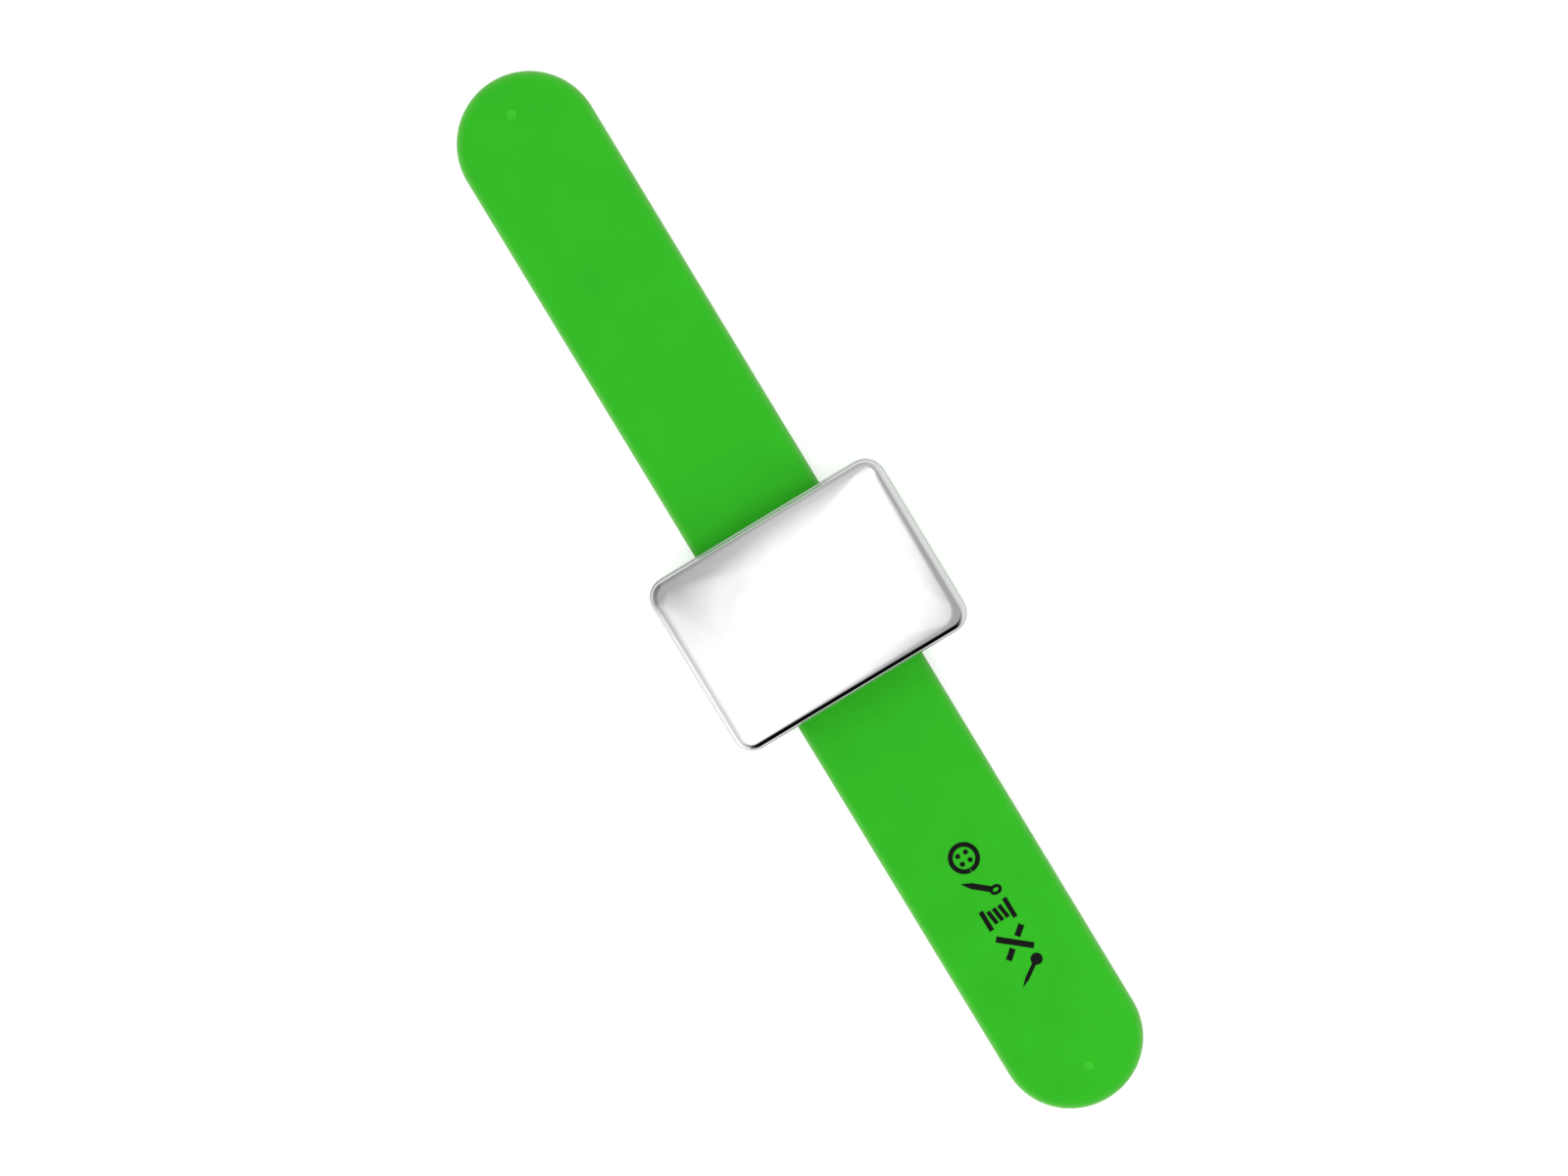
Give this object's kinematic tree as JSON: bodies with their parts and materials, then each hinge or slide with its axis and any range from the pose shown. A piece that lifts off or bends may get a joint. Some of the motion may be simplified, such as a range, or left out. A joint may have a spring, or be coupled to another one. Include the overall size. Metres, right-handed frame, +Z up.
{
  "type": "magnetic wrist pin holder",
  "caption": "Sewing pin holder for the wrist: a green silicone slap strap with a polished steel plate over a magnet.",
  "frame": {"origin": "on the surface it lies on, under the middle of the strap's length and of its width", "axes": "+X along the strap towards the printed arm, +Y across it, +Z up out of the polished plate's face"},
  "size_m": [0.23, 0.0526, 0.0074],
  "materials": {
    "silicone": "smooth satin silicone",
    "polished_steel": "mirror polished stainless steel",
    "spring_steel": "bright rolled strip",
    "ferrite": "matt sintered ferrite",
    "adhesive": "double-sided adhesive film"
  },
  "bodies": {
    "holder": {"base_moulding": "silicone", "band_middle": "spring_steel", "pad_lower": "adhesive", "magnet": "ferrite", "pad_upper": "adhesive", "cap": "polished_steel"},
    "left_arm_01": {"strap_left_01": "silicone", "band_left_01": "spring_steel"},
    "left_arm_02": {"strap_left_02": "silicone", "band_left_02": "spring_steel"},
    "left_arm_03": {"strap_left_03": "silicone", "band_left_03": "spring_steel"},
    "left_arm_04": {"strap_left_04": "silicone", "band_left_04": "spring_steel"},
    "left_arm_05": {"strap_left_05": "silicone", "band_left_05": "spring_steel"},
    "left_arm_06": {"strap_left_06": "silicone", "band_left_06": "spring_steel"},
    "left_arm_07": {"strap_left_07": "silicone", "band_left_07": "spring_steel"},
    "left_arm_08": {"strap_left_08": "silicone", "band_left_08": "spring_steel"},
    "left_arm_09": {"strap_left_09": "silicone", "band_left_09": "spring_steel"},
    "left_arm_10": {"strap_left_10": "silicone", "band_left_10": "spring_steel"},
    "left_arm_11": {"strap_left_11": "silicone", "band_left_11": "spring_steel"},
    "right_arm_01": {"strap_right_01": "silicone", "band_right_01": "spring_steel"},
    "right_arm_02": {"strap_right_02": "silicone", "band_right_02": "spring_steel"},
    "right_arm_03": {"strap_right_03": "silicone", "band_right_03": "spring_steel"},
    "right_arm_04": {"strap_right_04": "silicone", "band_right_04": "spring_steel"},
    "right_arm_05": {"strap_right_05": "silicone", "band_right_05": "spring_steel"},
    "right_arm_06": {"strap_right_06": "silicone", "band_right_06": "spring_steel"},
    "right_arm_07": {"strap_right_07": "silicone", "band_right_07": "spring_steel"},
    "right_arm_08": {"strap_right_08": "silicone", "band_right_08": "spring_steel"},
    "right_arm_09": {"strap_right_09": "silicone", "band_right_09": "spring_steel"},
    "right_arm_10": {"strap_right_10": "silicone", "band_right_10": "spring_steel"},
    "right_arm_11": {"strap_right_11": "silicone", "band_right_11": "spring_steel"}
  },
  "joints": [
    {"name": "left_arm_curl", "type": "hinge", "parent": "holder", "child": "left_arm_01", "pos_m": [-0.0207, 0, 0.0011], "axis": [0, -1, 0], "range_deg": [0, 24]},
    {"name": "left_curl_02", "type": "hinge", "parent": "left_arm_01", "child": "left_arm_02", "pos_m": [-0.02863, 0, 0.0011], "axis": [0, -1, 0], "range_deg": [0, 24.01]},
    {"name": "left_curl_03", "type": "hinge", "parent": "left_arm_02", "child": "left_arm_03", "pos_m": [-0.03656, 0, 0.0011], "axis": [0, -1, 0], "range_deg": [0, 24.01]},
    {"name": "left_curl_04", "type": "hinge", "parent": "left_arm_03", "child": "left_arm_04", "pos_m": [-0.04449, 0, 0.0011], "axis": [0, -1, 0], "range_deg": [0, 24.01]},
    {"name": "left_curl_05", "type": "hinge", "parent": "left_arm_04", "child": "left_arm_05", "pos_m": [-0.05242, 0, 0.0011], "axis": [0, -1, 0], "range_deg": [0, 16.02]},
    {"name": "left_curl_06", "type": "hinge", "parent": "left_arm_05", "child": "left_arm_06", "pos_m": [-0.06035, 0, 0.0011], "axis": [0, -1, 0], "range_deg": [0, 14]},
    {"name": "left_curl_07", "type": "hinge", "parent": "left_arm_06", "child": "left_arm_07", "pos_m": [-0.06828, 0, 0.0011], "axis": [0, -1, 0], "range_deg": [0, 12.01]},
    {"name": "left_curl_08", "type": "hinge", "parent": "left_arm_07", "child": "left_arm_08", "pos_m": [-0.07621, 0, 0.0011], "axis": [0, -1, 0], "range_deg": [0, 12.01]},
    {"name": "left_curl_09", "type": "hinge", "parent": "left_arm_08", "child": "left_arm_09", "pos_m": [-0.08414, 0, 0.0011], "axis": [0, -1, 0], "range_deg": [0, 12.01]},
    {"name": "left_curl_10", "type": "hinge", "parent": "left_arm_09", "child": "left_arm_10", "pos_m": [-0.09207, 0, 0.0011], "axis": [0, -1, 0], "range_deg": [0, 14]},
    {"name": "left_curl_11", "type": "hinge", "parent": "left_arm_10", "child": "left_arm_11", "pos_m": [-0.1, 0, 0.0011], "axis": [0, -1, 0], "range_deg": [0, 18.01]},
    {"name": "right_arm_curl", "type": "hinge", "parent": "holder", "child": "right_arm_01", "pos_m": [0.0257, 0, 0.0011], "axis": [0, 1, 0], "range_deg": [0, 27]},
    {"name": "right_curl_02", "type": "hinge", "parent": "right_arm_01", "child": "right_arm_02", "pos_m": [0.03313, 0, 0.0011], "axis": [0, 1, 0], "range_deg": [0, 27.01]},
    {"name": "right_curl_03", "type": "hinge", "parent": "right_arm_02", "child": "right_arm_03", "pos_m": [0.04056, 0, 0.0011], "axis": [0, 1, 0], "range_deg": [0, 27.01]},
    {"name": "right_curl_04", "type": "hinge", "parent": "right_arm_03", "child": "right_arm_04", "pos_m": [0.04799, 0, 0.0011], "axis": [0, 1, 0], "range_deg": [0, 27.01]},
    {"name": "right_curl_05", "type": "hinge", "parent": "right_arm_04", "child": "right_arm_05", "pos_m": [0.05542, 0, 0.0011], "axis": [0, 1, 0], "range_deg": [0, 22.02]},
    {"name": "right_curl_06", "type": "hinge", "parent": "right_arm_05", "child": "right_arm_06", "pos_m": [0.06285, 0, 0.0011], "axis": [0, 1, 0], "range_deg": [0, 14.02]},
    {"name": "right_curl_07", "type": "hinge", "parent": "right_arm_06", "child": "right_arm_07", "pos_m": [0.07028, 0, 0.0011], "axis": [0, 1, 0], "range_deg": [0, 8]},
    {"name": "right_curl_08", "type": "hinge", "parent": "right_arm_07", "child": "right_arm_08", "pos_m": [0.07771, 0, 0.0011], "axis": [0, 1, 0], "range_deg": [0, 8]},
    {"name": "right_curl_09", "type": "hinge", "parent": "right_arm_08", "child": "right_arm_09", "pos_m": [0.08514, 0, 0.0011], "axis": [0, 1, 0], "range_deg": [0, 8]},
    {"name": "right_curl_10", "type": "hinge", "parent": "right_arm_09", "child": "right_arm_10", "pos_m": [0.09257, 0, 0.0011], "axis": [0, 1, 0], "range_deg": [0, 14.02]},
    {"name": "right_curl_11", "type": "hinge", "parent": "right_arm_10", "child": "right_arm_11", "pos_m": [0.1, 0, 0.0011], "axis": [0, 1, 0], "range_deg": [0, 20.02]}
  ],
  "couplings": [
    {"joint": "left_curl_02", "follows": "left_arm_curl", "ratio": 1},
    {"joint": "left_curl_03", "follows": "left_arm_curl", "ratio": 1},
    {"joint": "left_curl_04", "follows": "left_arm_curl", "ratio": 1},
    {"joint": "left_curl_05", "follows": "left_arm_curl", "ratio": 0.667},
    {"joint": "left_curl_06", "follows": "left_arm_curl", "ratio": 0.583},
    {"joint": "left_curl_07", "follows": "left_arm_curl", "ratio": 0.5},
    {"joint": "left_curl_08", "follows": "left_arm_curl", "ratio": 0.5},
    {"joint": "left_curl_09", "follows": "left_arm_curl", "ratio": 0.5},
    {"joint": "left_curl_10", "follows": "left_arm_curl", "ratio": 0.583},
    {"joint": "left_curl_11", "follows": "left_arm_curl", "ratio": 0.75},
    {"joint": "right_curl_02", "follows": "right_arm_curl", "ratio": 1},
    {"joint": "right_curl_03", "follows": "right_arm_curl", "ratio": 1},
    {"joint": "right_curl_04", "follows": "right_arm_curl", "ratio": 1},
    {"joint": "right_curl_05", "follows": "right_arm_curl", "ratio": 0.815},
    {"joint": "right_curl_06", "follows": "right_arm_curl", "ratio": 0.519},
    {"joint": "right_curl_07", "follows": "right_arm_curl", "ratio": 0.296},
    {"joint": "right_curl_08", "follows": "right_arm_curl", "ratio": 0.296},
    {"joint": "right_curl_09", "follows": "right_arm_curl", "ratio": 0.296},
    {"joint": "right_curl_10", "follows": "right_arm_curl", "ratio": 0.519},
    {"joint": "right_curl_11", "follows": "right_arm_curl", "ratio": 0.741}
  ]
}
